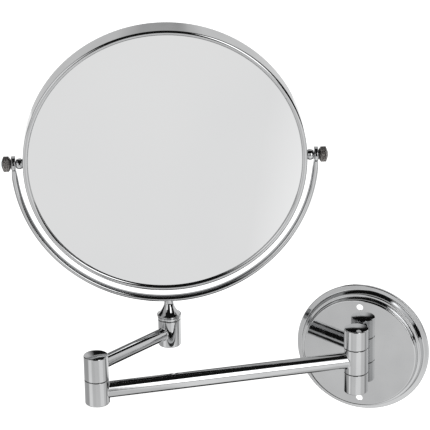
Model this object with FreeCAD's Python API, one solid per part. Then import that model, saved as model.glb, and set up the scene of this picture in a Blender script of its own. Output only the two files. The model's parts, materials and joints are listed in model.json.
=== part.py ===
"""Extendable two-sided shaving mirror: round wall plate, two-part swing arm, yoke and mirror head.

Frame: +Z up, +X to the right along the wall, +Y into the wall. The origin is the centre of the
wall plate's back plane, so everything stands on the -Y side of it. Lengths are in millimetres.

The hinges all turn about vertical axes. Each arm is drawn along its own +X from the axis that
carries it, the yoke is drawn across its swivel axis, and the head is drawn facing -Y about its
own centre. place_...() then puts each of them into the pose that the mirror is stored in.
"""
import FreeCAD
import Part

import math
import os

from FreeCAD import Placement, Rotation, Vector

# ---- Pose at rest, degrees about +Z from +X, and the head's lean about the pivot axis ----
LONG_ARM_ANGLE = -150.0
SHORT_ARM_ANGLE = 64.6
HEAD_YAW = 18.8
HEAD_TILT = 4.2

# ---- Wall plate ----
PLATE_R = 49.8
PLATE_DEPTH = 12.2
PLATE_SHEET = 1.2
FLAT_R = 41.3
SCREW_SPACING = 73.2
SCREW_HOLE_R = 2.5
SCREW_CLEARANCE = 0.2
BACKING_WIDTH = 22.0
BACKING_LENGTH = 60.0
BACKING_SHEET = 2.0
FIXING_WASHER_R = 4.6
FIXING_WASHER_H = 0.8
FIXING_HEAD_H = 2.6
FIXING_THREAD_LENGTH = 5.4

# ---- Wall hinge: two fixed knuckles with the long arm's knuckle between them ----
HINGE_STANDOFF = 11.0
HINGE_R = 8.9
FIXED_KNUCKLE_H = 15.4
FOOT_R = 5.5
ARM_KNUCKLE_H = 19.0
JOINT_GAP = 0.5
EDGE_BREAK = 0.3
CAP_CROWN = 0.5

# ---- Arms ----
LONG_ARM_LENGTH = 193.8
LONG_TUBE_R = 6.0
LONG_TUBE_WALL = 1.1
SHORT_ARM_LENGTH = 77.6
SHORT_TUBE_R = 4.75
SHORT_TUBE_WALL = 1.0
SHORT_ARM_Z = 19.8

# ---- Elbow ----
ELBOW_R = 8.9
ELBOW_LOWER_H = 18.8
ELBOW_UPPER_H = 18.8

# ---- Swivel under the yoke ----
SWIVEL_R = 8.5
SWIVEL_KNUCKLE_H = 20.4
COLLAR_R = 8.6
COLLAR_H = 2.0
GROOVE_R = 7.9
GROOVE_H = 0.3
BELL_LIP_R = 9.0
BELL_NECK_R = 3.3
SWIVEL_TIP_R = 2.5
SWIVEL_TIP_LENGTH = 6.3

# ---- Pins, disc springs and washers ----
PIN_R = 3.0
RUNNING_CLEARANCE = 0.05
PIN_HEAD_R = 5.2
PIN_HEAD_H = 2.6
COUNTERBORE_R = 5.8
COUNTERBORE_H = 4.6
SPRING_R = 5.2
SPRING_H = 1.0
WASHER_H = 0.4
KNUCKLE_WALL_ABOVE_PIN = 4.0
PIN_TIP_GAP = 0.4
WASHER_INSET = 0.15
WASHER_CLEARANCE = 0.1
SLOT_DEPTH = 1.4
SLOT_WIDTH = 1.2

# ---- Yoke: a flat-oval bar bent to a half circle, with an eye at each end ----
HEAD_Z = 154.5
YOKE_R = 108.0
BAR_RADIAL = 2.3
BAR_AXIAL = 3.5
BAR_END_ANGLE = 4.5
EYE_R = 5.7
EYE_THICKNESS = 3.0

# ---- Pivots at the ends of the yoke ----
STUD_R = 2.0
THREAD_CLEARANCE = 0.02
STUD_INNER_LENGTH = 10.5
STUD_OUTER_LENGTH = 12.6
BALL_R = 3.95
BALL_GAP = 0.1
KNOB_R = 5.6
KNOB_LENGTH = 6.9
KNOB_TEETH = 28
KNOB_INNER_CONE = 1.7
KNOB_OUTER_CONE = 1.6
KNOB_INNER_FACE_R = 2.8
KNOB_OUTER_FACE_R = 1.6
KNOB_WASHER_R = 4.0
KNOB_WASHER_H = 0.3

# ---- Mirror head ----
RIM_R = 101.5
HEAD_DEPTH = 17.7
BAND_WALL = 1.2
BEZEL_INNER_R = 97.6
GLASS_R = 99.3
GLASS_THICKNESS = 3.0
GLASS_RECESS = 1.55
LIP_RISE = 0.75
LIP_CREST_INSET = 1.7
MAGNIFIER_THICKNESS = 2.5
MAGNIFIER_RADIUS = 905.0
GLASS_EDGE_GAP = 0.2
CORE_INNER_R = 84.0
CORE_GAP = 0.1
BLOCK_DEPTH = 5.6
BLOCK_HEIGHT = 12.0
BLOCK_LENGTH = 11.0

# ---- Worked out from the dimensions above ----
HINGE_Y = -(PLATE_DEPTH + HINGE_STANDOFF)
HINGE_BOTTOM = -(ARM_KNUCKLE_H / 2 + JOINT_GAP + FIXED_KNUCKLE_H)
ELBOW_BOTTOM = -ELBOW_LOWER_H / 2
ELBOW_SPLIT = ELBOW_LOWER_H / 2 + JOINT_GAP
SWIVEL_BOTTOM = SHORT_ARM_Z - SWIVEL_KNUCKLE_H / 2
SWIVEL_TOP = SHORT_ARM_Z + SWIVEL_KNUCKLE_H / 2
COLLAR_BOTTOM = SWIVEL_TOP + JOINT_GAP
BELL_BOTTOM = COLLAR_BOTTOM + COLLAR_H + GROOVE_H
FIXED_KNUCKLE_MID = ARM_KNUCKLE_H / 2 + JOINT_GAP + FIXED_KNUCKLE_H / 2
BORE_R = PIN_R + RUNNING_CLEARANCE
HALF_DEPTH = HEAD_DEPTH / 2
GLASS_FRONT = HALF_DEPTH - GLASS_RECESS
KNOB_WASHER_INNER = YOKE_R + EYE_THICKNESS / 2 + BALL_GAP
BAND_EDGE = HALF_DEPTH - LIP_RISE

X_AXIS = Vector(1, 0, 0)
Y_AXIS = Vector(0, 1, 0)
Z_AXIS = Vector(0, 0, 1)
ORIGIN = Vector(0, 0, 0)


# ---- Solids about the Z axis ----
def disc(radius, bottom, top):
    return Part.makeCylinder(radius, top - bottom, Vector(0, 0, bottom))


def ring(outer, inner, bottom, top):
    return disc(outer, bottom, top).cut(disc(inner, bottom, top))


def chamfered_disc(radius, bottom, top, bottom_chamfer, top_chamfer):
    return turned(
        (0, bottom),
        (radius - bottom_chamfer, bottom),
        (radius, bottom + bottom_chamfer),
        (radius, top - top_chamfer),
        (radius - top_chamfer, top),
        (0, top),
    )


def domed_disc(radius, bottom, top, bottom_chamfer, top_chamfer):
    """Disc whose top face is slightly crowned, as part of a large ball."""
    crown_r = radius - top_chamfer
    ball_r = (crown_r**2 + CAP_CROWN**2) / (2 * CAP_CROWN)
    blank = chamfered_disc(radius, bottom, top, bottom_chamfer, top_chamfer + CAP_CROWN)
    return blank.common(Part.makeSphere(ball_r, Vector(0, 0, top - ball_r), Y_AXIS))


def turned(start, *steps):
    """Solid turned about Z from a closed (radius, height) outline.

    A step is the next point, or a pair of points for an arc through the first to the second.
    """
    edges = []
    here = Vector(start[0], 0, start[1])
    for step in steps + (start,):
        if isinstance(step[0], tuple):
            through, end = (Vector(r, 0, z) for r, z in step)
            edges.append(Part.Arc(here, through, end).toShape())
        else:
            end = Vector(step[0], 0, step[1])
            if here.distanceToPoint(end) < 1e-6:
                continue
            edges.append(Part.LineSegment(here, end).toShape())
        here = end
    return Part.Face(Part.Wire(edges)).revolve(ORIGIN, Z_AXIS, 360)


# ---- Turning and placing ----
def facing_room(shape):
    """Turn a solid's +Z to -Y, out of the wall or out of the front of the head."""
    shape = shape.copy()
    shape.rotate(ORIGIN, X_AXIS, 90)
    return shape


def facing_side(shape, side):
    """Turn a solid's +Z to +X for side 1, or to -X for side -1."""
    shape = shape.copy()
    shape.rotate(ORIGIN, Y_AXIS, 90 * side)
    return shape


def placed(shape, placement):
    shape = shape.copy()
    shape.Placement = placement.multiply(shape.Placement)
    return shape


def step_along(start, angle, length):
    """Point at length from start, in the horizontal direction angle."""
    direction = math.radians(angle)
    return start + Vector(length * math.cos(direction), length * math.sin(direction), 0)


HINGE = Vector(0, HINGE_Y, 0)
ELBOW = step_along(HINGE, LONG_ARM_ANGLE, LONG_ARM_LENGTH)
SWIVEL = step_along(ELBOW, SHORT_ARM_ANGLE, SHORT_ARM_LENGTH)
HEAD = SWIVEL + Vector(0, 0, HEAD_Z)


def place_at_hinge(shape):
    return placed(shape, Placement(HINGE, Rotation()))


def place_on_long_arm(shape):
    return placed(shape, Placement(HINGE, Rotation(Z_AXIS, LONG_ARM_ANGLE)))


def place_on_short_arm(shape):
    return placed(shape, Placement(ELBOW, Rotation(Z_AXIS, SHORT_ARM_ANGLE)))


def place_on_yoke(shape):
    return placed(shape, Placement(SWIVEL, Rotation(Z_AXIS, HEAD_YAW)))


def place_on_head(shape):
    yaw = Rotation(Z_AXIS, HEAD_YAW)
    return placed(shape, Placement(HEAD, yaw.multiply(Rotation(X_AXIS, HEAD_TILT))))


def at_both(shape, offset):
    """The same solid at plus and minus offset along Z, as one group."""
    upper = shape.copy()
    upper.translate(Vector(0, 0, offset))
    lower = shape.copy()
    lower.translate(Vector(0, 0, -offset))
    return Part.makeCompound([upper, lower])


# ---- Wall plate and what is behind it ----
def wall_plate():
    """Pressed cover: flat face, two stepped walls and a flange that meets the wall."""
    outer = turned(
        (0, 0),
        (PLATE_R, 0),
        (PLATE_R, 1.3),
        ((49.65, 1.75), (49.2, 1.95)),
        (46.9, 2.1),
        ((46.2, 2.35), (45.85, 3.0)),
        (45.2, 6.3),
        ((45.0, 6.95), (44.3, 7.2)),
        (43.5, 7.3),
        ((43.0, 7.55), (42.8, 8.1)),
        (42.6, 10.9),
        ((42.2, 11.8), (FLAT_R, PLATE_DEPTH)),
        (0, PLATE_DEPTH),
    )
    hollow = turned(
        (0, 0),
        (PLATE_R - PLATE_SHEET, 0),
        (PLATE_R - PLATE_SHEET, 0.7),
        (45.9, 0.9),
        (44.75, 2.3),
        (44.1, 5.6),
        (43.7, 6.0),
        (41.9, 6.2),
        (41.5, 7.0),
        (41.35, 10.0),
        (40.6, PLATE_DEPTH - PLATE_SHEET),
        (0, PLATE_DEPTH - PLATE_SHEET),
    )
    plate = facing_room(outer.cut(hollow))
    for hole in wall_screw_holes() + hinge_screw_holes():
        plate = plate.cut(hole)
    return plate


def hole_off_wall(radius, z):
    hole = facing_room(disc(radius, -1, PLATE_DEPTH + 1))
    hole.translate(Vector(0, 0, z))
    return hole


def wall_screw_holes():
    return [hole_off_wall(SCREW_HOLE_R, sign * SCREW_SPACING / 2) for sign in (-1, 1)]


def hinge_screw_holes():
    radius = STUD_R + SCREW_CLEARANCE
    return [hole_off_wall(radius, sign * FIXED_KNUCKLE_MID) for sign in (-1, 1)]


def hinge_backing_plate():
    """Strip with round ends behind the flat face, which spreads the pull of the hinge's screws."""
    top = PLATE_DEPTH - PLATE_SHEET
    bottom = top - BACKING_SHEET
    end_r = BACKING_WIDTH / 2
    straight = BACKING_LENGTH - BACKING_WIDTH
    corner = Vector(-end_r, -straight / 2, bottom)
    strip = Part.makeBox(BACKING_WIDTH, straight, BACKING_SHEET, corner)
    for sign in (-1, 1):
        end = disc(end_r, bottom, top)
        end.translate(Vector(0, sign * straight / 2, 0))
        strip = strip.fuse(end)
    strip = facing_room(strip.removeSplitter())
    for hole in hinge_screw_holes():
        strip = strip.cut(hole)
    return strip


def fixed_knuckle(sign):
    """Hinge knuckle that stays on the wall plate, above the arm for sign 1 or below it for -1."""
    near = ARM_KNUCKLE_H / 2 + JOINT_GAP
    far = near + FIXED_KNUCKLE_H
    thread_depth = FIXING_THREAD_LENGTH + 0.8
    if sign > 0:
        knuckle = domed_disc(HINGE_R, near, far, EDGE_BREAK, 2 * EDGE_BREAK)
    else:
        knuckle = chamfered_disc(HINGE_R, near, far, EDGE_BREAK, 2 * EDGE_BREAK)
        knuckle.rotate(ORIGIN, X_AXIS, 180)
    foot = Part.makeCylinder(FOOT_R, HINGE_STANDOFF, ORIGIN, Y_AXIS)
    foot.translate(Vector(0, 0, sign * FIXED_KNUCKLE_MID))
    knuckle = knuckle.fuse(foot).removeSplitter()
    thread = Part.makeCylinder(
        STUD_R + THREAD_CLEARANCE, thread_depth, Vector(0, HINGE_STANDOFF, 0), -Y_AXIS
    )
    thread.translate(Vector(0, 0, sign * FIXED_KNUCKLE_MID))
    knuckle = knuckle.cut(thread)
    if sign > 0:
        bore = disc(BORE_R, near - 1, far - KNUCKLE_WALL_ABOVE_PIN)
    else:
        bore = disc(BORE_R, -far - 1, -near + 1)
        bore = bore.fuse(disc(COUNTERBORE_R, -far - 1, -far + COUNTERBORE_H))
    return place_at_hinge(knuckle.cut(bore))


def hinge_fixing_washers():
    seat = PLATE_DEPTH - PLATE_SHEET - BACKING_SHEET
    bottom = seat - FIXING_WASHER_H
    washer = facing_room(ring(FIXING_WASHER_R, STUD_R + SCREW_CLEARANCE, bottom, seat))
    return at_both(washer, FIXED_KNUCKLE_MID)


def hinge_fixing_screws():
    """Pan-head screws from behind, through the strip and the plate into the knuckles."""
    seat = PLATE_DEPTH - PLATE_SHEET - BACKING_SHEET - FIXING_WASHER_H
    head = seat - FIXING_HEAD_H
    tip = PLATE_DEPTH + FIXING_THREAD_LENGTH
    tip_chamfer = 0.5
    screw = turned(
        (0, head),
        (2.6, head),
        ((3.7, head + 0.7), (4.0, seat)),
        (STUD_R, seat),
        (STUD_R, tip - tip_chamfer),
        (STUD_R - tip_chamfer, tip),
        (0, tip),
    )
    long, wide = 4.0, 0.9
    slot = Part.makeBox(long, wide, SLOT_DEPTH, Vector(-long / 2, -wide / 2, head))
    cross = Part.makeBox(wide, long, SLOT_DEPTH, Vector(-wide / 2, -long / 2, head))
    return at_both(facing_room(screw.cut(slot).cut(cross)), FIXED_KNUCKLE_MID)


# ---- Pins, springs and washers shared by the three hinges ----
def pivot_pin(bottom, top):
    """Slotted shoulder screw put in from below, its head inside a counterbore."""
    head_bottom = bottom + COUNTERBORE_H - SPRING_H - PIN_HEAD_H
    head_top = head_bottom + PIN_HEAD_H
    chamfer = 0.4
    pin = turned(
        (0, head_bottom),
        (PIN_HEAD_R - chamfer, head_bottom),
        (PIN_HEAD_R, head_bottom + chamfer),
        (PIN_HEAD_R, head_top),
        (PIN_R, head_top),
        (PIN_R, top - chamfer),
        (PIN_R - chamfer, top),
        (0, top),
    )
    corner = Vector(-PIN_HEAD_R, -SLOT_WIDTH / 2, head_bottom)
    return pin.cut(Part.makeBox(2 * PIN_HEAD_R, SLOT_WIDTH, SLOT_DEPTH, corner))


def disc_spring(bottom):
    """Conical spring washer between a pin's head and the counterbore's seat."""
    seat = bottom + COUNTERBORE_H
    top = seat - 0.05
    low = seat - SPRING_H
    sheet = 0.55
    return turned(
        (PIN_R + WASHER_CLEARANCE, low),
        (PIN_R + 0.8, low),
        (SPRING_R, top - sheet),
        (SPRING_R, top),
        (SPRING_R - sheet, top),
        (PIN_R + WASHER_CLEARANCE, low + sheet),
    )


def thin_washer(radius, bottom):
    return ring(radius, PIN_R + WASHER_CLEARANCE, bottom, bottom + WASHER_H)


def wall_hinge_pin():
    tip = -HINGE_BOTTOM - KNUCKLE_WALL_ABOVE_PIN - PIN_TIP_GAP
    return place_at_hinge(pivot_pin(HINGE_BOTTOM, tip))


def wall_hinge_disc_spring():
    return place_at_hinge(disc_spring(HINGE_BOTTOM))


def wall_hinge_washers():
    half = ARM_KNUCKLE_H / 2 + JOINT_GAP
    upper = thin_washer(HINGE_R - WASHER_INSET, half - WASHER_H)
    lower = thin_washer(HINGE_R - WASHER_INSET, -half)
    return place_at_hinge(Part.makeCompound([upper, lower]))


# ---- Long arm ----
def arm_tube(radius, wall, length, start_radius, end_radius, z):
    """Tube along +X, its ends shaped to the round knuckles that it is brazed to."""
    outer = Part.makeCylinder(radius, length, Vector(0, 0, z), X_AXIS)
    inner = Part.makeCylinder(radius - wall, length, Vector(0, 0, z), X_AXIS)
    tube = outer.cut(inner)
    for x, knuckle_radius in ((0, start_radius), (length, end_radius)):
        knuckle = disc(knuckle_radius, z - 2 * radius, z + 2 * radius)
        knuckle.translate(Vector(x, 0, 0))
        tube = tube.cut(knuckle)
    return tube


def long_arm_wall_knuckle():
    half = ARM_KNUCKLE_H / 2
    knuckle = chamfered_disc(HINGE_R, -half, half, EDGE_BREAK, EDGE_BREAK)
    return place_on_long_arm(knuckle.cut(disc(BORE_R, -half, half)))


def long_arm_tube():
    return place_on_long_arm(
        arm_tube(LONG_TUBE_R, LONG_TUBE_WALL, LONG_ARM_LENGTH, HINGE_R, ELBOW_R, 0)
    )


def long_arm_elbow_knuckle():
    bottom_chamfer = 1.2
    knuckle = chamfered_disc(ELBOW_R, ELBOW_BOTTOM, -ELBOW_BOTTOM, bottom_chamfer, EDGE_BREAK)
    knuckle = knuckle.cut(disc(BORE_R, ELBOW_BOTTOM, -ELBOW_BOTTOM))
    knuckle = knuckle.cut(disc(COUNTERBORE_R, ELBOW_BOTTOM, ELBOW_BOTTOM + COUNTERBORE_H))
    knuckle.translate(Vector(LONG_ARM_LENGTH, 0, 0))
    return place_on_long_arm(knuckle)


# ---- Short arm ----
def short_arm_elbow_knuckle():
    top = ELBOW_SPLIT + ELBOW_UPPER_H
    top_chamfer = 0.7
    knuckle = domed_disc(ELBOW_R, ELBOW_SPLIT, top, EDGE_BREAK, top_chamfer)
    bore = disc(BORE_R, ELBOW_SPLIT - 1, top - KNUCKLE_WALL_ABOVE_PIN)
    return place_on_short_arm(knuckle.cut(bore))


def short_arm_tube():
    return place_on_short_arm(
        arm_tube(
            SHORT_TUBE_R, SHORT_TUBE_WALL, SHORT_ARM_LENGTH, ELBOW_R, SWIVEL_R, SHORT_ARM_Z
        )
    )


def short_arm_swivel_knuckle():
    bottom_chamfer = 0.8
    knuckle = chamfered_disc(SWIVEL_R, SWIVEL_BOTTOM, SWIVEL_TOP, bottom_chamfer, EDGE_BREAK)
    knuckle = knuckle.cut(disc(BORE_R, SWIVEL_BOTTOM, SWIVEL_TOP))
    knuckle = knuckle.cut(disc(COUNTERBORE_R, SWIVEL_BOTTOM, SWIVEL_BOTTOM + COUNTERBORE_H))
    knuckle.translate(Vector(SHORT_ARM_LENGTH, 0, 0))
    return place_on_short_arm(knuckle)


def elbow_pin():
    tip = ELBOW_SPLIT + ELBOW_UPPER_H - KNUCKLE_WALL_ABOVE_PIN - PIN_TIP_GAP
    return place_on_short_arm(pivot_pin(ELBOW_BOTTOM, tip))


def elbow_disc_spring():
    return place_on_short_arm(disc_spring(ELBOW_BOTTOM))


def elbow_washer():
    return place_on_short_arm(thin_washer(ELBOW_R - WASHER_INSET, ELBOW_SPLIT - WASHER_H))


# ---- Swivel and yoke ----
def swivel_pin():
    """Pin with a thinner tip that screws up into the bell."""
    pin = pivot_pin(SWIVEL_BOTTOM, BELL_BOTTOM)
    tip = chamfered_disc(SWIVEL_TIP_R, BELL_BOTTOM - 1, BELL_BOTTOM + SWIVEL_TIP_LENGTH, 0, 0.4)
    return place_on_yoke(pin.fuse(tip))


def swivel_disc_spring():
    return place_on_yoke(disc_spring(SWIVEL_BOTTOM))


def swivel_washer():
    return place_on_yoke(thin_washer(SWIVEL_R - WASHER_INSET, COLLAR_BOTTOM - WASHER_H))


def swivel_collar():
    """Collar with a narrow groove turned where it meets the bell."""
    top = COLLAR_BOTTOM + COLLAR_H
    collar = turned(
        (BORE_R, COLLAR_BOTTOM),
        (COLLAR_R - EDGE_BREAK, COLLAR_BOTTOM),
        (COLLAR_R, COLLAR_BOTTOM + EDGE_BREAK),
        (COLLAR_R, top - 0.5),
        ((COLLAR_R - 0.15, top - 0.15), (COLLAR_R - 0.5, top)),
        (GROOVE_R, top),
        (GROOVE_R, top + GROOVE_H),
        (BORE_R, top + GROOVE_H),
    )
    return place_on_yoke(collar)


def swivel_bell():
    """Bell-shaped foot of the yoke: rounded lip, concave flare and a neck brazed to the bar."""
    lip_height = 1.2
    flare_r = BELL_LIP_R - 0.8
    neck_bottom = BELL_BOTTOM + 11.4
    neck_top = HEAD_Z - YOKE_R
    bell = turned(
        (0, BELL_BOTTOM),
        (BELL_LIP_R - 0.6, BELL_BOTTOM),
        ((BELL_LIP_R, BELL_BOTTOM + lip_height / 2), (flare_r, BELL_BOTTOM + lip_height)),
        ((4.95, BELL_BOTTOM + 5.4), (BELL_NECK_R, neck_bottom)),
        (BELL_NECK_R, neck_top),
        (0, neck_top),
    )
    thread = disc(SWIVEL_TIP_R, BELL_BOTTOM - 1, BELL_BOTTOM + SWIVEL_TIP_LENGTH + 0.2)
    return place_on_yoke(bell.cut(thread).cut(yoke_bar()))


def bar_section(angle, radial, axial):
    """Oval outline across the yoke's bar, at angle degrees round from its lowest point."""
    centre = Vector(0, 0, -YOKE_R)
    oval = Part.Ellipse(centre + Vector(0, axial, 0), centre + Vector(0, 0, radial), centre)
    wire = Part.Wire(oval.toShape())
    wire.rotate(ORIGIN, Y_AXIS, -angle)
    return wire


def yoke_bar():
    half_sweep = 90 - BAR_END_ANGLE
    start = Part.Face(bar_section(-half_sweep, BAR_RADIAL, BAR_AXIAL))
    bar = start.revolve(ORIGIN, -Y_AXIS, 2 * half_sweep)
    bar.translate(Vector(0, 0, HEAD_Z))
    return bar


def yoke_eye(side):
    """Flattened end of the bar: a round eye and the taper that runs into it."""
    half = EYE_THICKNESS / 2
    eye = facing_side(chamfered_disc(EYE_R, -half, half, EDGE_BREAK, EDGE_BREAK), side)
    eye.translate(Vector(side * YOKE_R, 0, 0))
    flat_angle = 88.2
    taper = Part.makeLoft(
        [
            bar_section(side * (90 - BAR_END_ANGLE), BAR_RADIAL, BAR_AXIAL),
            bar_section(side * flat_angle, half - 0.1, EYE_R - 1.0),
        ],
        True,
    )
    eye = eye.fuse(taper)
    eye.translate(Vector(0, 0, HEAD_Z))
    return eye


def yoke():
    body = yoke_bar().fuse([yoke_eye(-1), yoke_eye(1)])
    holes = across_head(STUD_R + RUNNING_CLEARANCE)
    holes.translate(Vector(0, 0, HEAD_Z))
    return place_on_yoke(body.cut(holes))


# ---- Pivots: studs fixed in the head, ball spacers, washers and thumb nuts ----
def across_head(radius):
    """Round bar along the pivot axis, long enough to pass through everything on it."""
    length = 3 * RIM_R
    return Part.makeCylinder(radius, length, Vector(-length / 2, 0, 0), X_AXIS)


def pivot_stud(side):
    stud = chamfered_disc(STUD_R, RIM_R - STUD_INNER_LENGTH, RIM_R + STUD_OUTER_LENGTH, 0, 0.4)
    return place_on_head(facing_side(stud, side))


def pivot_ball(side):
    """Ball between the rim and the yoke's eye, flattened where it meets each of them."""
    bore = STUD_R + RUNNING_CLEARANCE
    inner = RIM_R
    outer = YOKE_R - EYE_THICKNESS / 2 - BALL_GAP
    middle = (inner + outer) / 2
    half = (outer - inner) / 2
    flat_r = math.sqrt(BALL_R**2 - half**2)
    ball = turned(
        (bore, inner),
        (flat_r, inner),
        ((BALL_R, middle), (flat_r, outer)),
        (bore, outer),
    )
    return place_on_head(facing_side(ball, side))


def knob_washer(side):
    bore = STUD_R + WASHER_CLEARANCE
    washer = ring(KNOB_WASHER_R, bore, KNOB_WASHER_INNER, KNOB_WASHER_INNER + KNOB_WASHER_H)
    return place_on_head(facing_side(washer, side))


def thumb_nut(side):
    """Knurled thumb nut with a low cone at each end and a blind threaded hole."""
    tooth_depth = 0.4
    end_wall = 2.4
    inner = KNOB_WASHER_INNER + KNOB_WASHER_H + 0.05
    outer = inner + KNOB_LENGTH
    crests = []
    for tooth in range(2 * KNOB_TEETH):
        angle = math.pi * tooth / KNOB_TEETH
        radius = KNOB_R if tooth % 2 == 0 else KNOB_R - tooth_depth
        crests.append(Vector(radius * math.cos(angle), radius * math.sin(angle), inner))
    knurl = Part.Face(Part.makePolygon(crests + crests[:1])).extrude(Vector(0, 0, KNOB_LENGTH))
    cones = turned(
        (0, inner),
        (KNOB_INNER_FACE_R, inner),
        (KNOB_R, inner + KNOB_INNER_CONE),
        (KNOB_R, outer - KNOB_OUTER_CONE),
        (KNOB_OUTER_FACE_R, outer),
        (0, outer),
    )
    nut = knurl.common(cones)
    nut = nut.cut(disc(STUD_R + RUNNING_CLEARANCE, inner - 1, outer - end_wall))
    return place_on_head(facing_side(nut, side))


# ---- Mirror head ----
def rim_band():
    """Plain cylindrical band round the head, drilled for the two studs."""
    band = facing_room(ring(RIM_R, RIM_R - BAND_WALL, -BAND_EDGE, BAND_EDGE))
    return place_on_head(band.cut(across_head(STUD_R + RUNNING_CLEARANCE)))


def bezel_ring():
    """Rounded lip from the band to the glass, with a seat behind it for the glass's edge."""
    seat_r = GLASS_R + GLASS_EDGE_GAP
    skirt = GLASS_FRONT - 1.6
    return turned(
        (RIM_R, BAND_EDGE),
        ((RIM_R - LIP_CREST_INSET, HALF_DEPTH), (BEZEL_INNER_R, GLASS_FRONT)),
        (seat_r, GLASS_FRONT),
        (seat_r, skirt),
        (RIM_R - BAND_WALL, skirt),
        (RIM_R - BAND_WALL, BAND_EDGE),
    )


def front_bezel():
    return place_on_head(facing_room(bezel_ring()))


def rear_bezel():
    bezel = bezel_ring()
    bezel.rotate(ORIGIN, X_AXIS, 180)
    return place_on_head(facing_room(bezel))


def front_glass():
    """Flat glass, silvered on its back."""
    edge = 0.5
    glass = chamfered_disc(GLASS_R, GLASS_FRONT - GLASS_THICKNESS, GLASS_FRONT, edge, edge)
    return place_on_head(facing_room(glass))


def magnifier_ball(behind):
    """Ball whose crown is the rear glass's hollow face, or a face that far behind it."""
    centre = -GLASS_FRONT - math.sqrt(MAGNIFIER_RADIUS**2 - GLASS_R**2)
    return Part.makeSphere(MAGNIFIER_RADIUS + behind, Vector(0, 0, centre), Y_AXIS)


def rear_glass():
    """Concave magnifying glass of even thickness, its hollow side out of the back."""
    blank = disc(GLASS_R, -GLASS_FRONT, GLASS_FRONT)
    glass = blank.common(magnifier_ball(MAGNIFIER_THICKNESS))
    return place_on_head(facing_room(glass.cut(magnifier_ball(0))))


def pivot_block(side, clearance):
    """Block for a stud's thread, standing against the inside of the band."""
    depth = BLOCK_DEPTH + 2 * clearance
    height = BLOCK_HEIGHT + 2 * clearance
    inner = RIM_R - BLOCK_LENGTH - clearance
    corner = Vector(inner, -depth / 2, -height / 2)
    block = Part.makeBox(RIM_R - inner, depth, height, corner)
    if side < 0:
        block.rotate(ORIGIN, Z_AXIS, 180)
    return block


def pivot_blocks():
    inside_band = facing_room(disc(RIM_R - BAND_WALL, -HALF_DEPTH, HALF_DEPTH))
    thread = across_head(STUD_R + THREAD_CLEARANCE)
    blocks = [pivot_block(side, 0).common(inside_band).cut(thread) for side in (-1, 1)]
    return place_on_head(Part.makeCompound(blocks))


def core_ring():
    """Moulded ring that holds the two glasses apart, notched for the pivot blocks."""
    front = GLASS_FRONT - GLASS_THICKNESS
    outer = RIM_R - BAND_WALL - CORE_GAP
    core = ring(outer, CORE_INNER_R, -GLASS_FRONT + MAGNIFIER_THICKNESS + CORE_GAP, front)
    core = facing_room(core.cut(magnifier_ball(MAGNIFIER_THICKNESS + CORE_GAP)))
    for side in (-1, 1):
        core = core.cut(pivot_block(side, CORE_GAP))
    return place_on_head(core)


NODES = {
    "wall_plate": wall_plate(),
    "hinge_backing_plate": hinge_backing_plate(),
    "hinge_upper_knuckle": fixed_knuckle(1),
    "hinge_lower_knuckle": fixed_knuckle(-1),
    "hinge_fixing_washers": hinge_fixing_washers(),
    "hinge_fixing_screws": hinge_fixing_screws(),
    "wall_hinge_pin": wall_hinge_pin(),
    "wall_hinge_disc_spring": wall_hinge_disc_spring(),
    "wall_hinge_washers": wall_hinge_washers(),
    "long_arm_wall_knuckle": long_arm_wall_knuckle(),
    "long_arm_tube": long_arm_tube(),
    "long_arm_elbow_knuckle": long_arm_elbow_knuckle(),
    "short_arm_elbow_knuckle": short_arm_elbow_knuckle(),
    "short_arm_tube": short_arm_tube(),
    "short_arm_swivel_knuckle": short_arm_swivel_knuckle(),
    "elbow_pin": elbow_pin(),
    "elbow_disc_spring": elbow_disc_spring(),
    "elbow_washer": elbow_washer(),
    "swivel_pin": swivel_pin(),
    "swivel_disc_spring": swivel_disc_spring(),
    "swivel_washer": swivel_washer(),
    "swivel_collar": swivel_collar(),
    "swivel_bell": swivel_bell(),
    "yoke": yoke(),
    "left_pivot_stud": pivot_stud(-1),
    "right_pivot_stud": pivot_stud(1),
    "left_pivot_ball": pivot_ball(-1),
    "right_pivot_ball": pivot_ball(1),
    "left_knob_washer": knob_washer(-1),
    "right_knob_washer": knob_washer(1),
    "left_knob": thumb_nut(-1),
    "right_knob": thumb_nut(1),
    "rim_band": rim_band(),
    "front_bezel": front_bezel(),
    "rear_bezel": rear_bezel(),
    "front_glass": front_glass(),
    "rear_glass": rear_glass(),
    "pivot_blocks": pivot_blocks(),
    "core_ring": core_ring(),
}

os.makedirs("parts", exist_ok=True)
for name, shape in NODES.items():
    shape.exportStep(f"parts/{name}.step")
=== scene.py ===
"""Looks of the extendable shaving mirror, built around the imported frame.

Outlines are written in millimetres in each piece's own axes, and finished() brings them into the
frame, which is in metres. +Z is up, +X runs right along the wall and +Y goes into the wall.
"""
import json
import math

import bmesh
import bpy
from mathutils import Matrix, Vector


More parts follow.
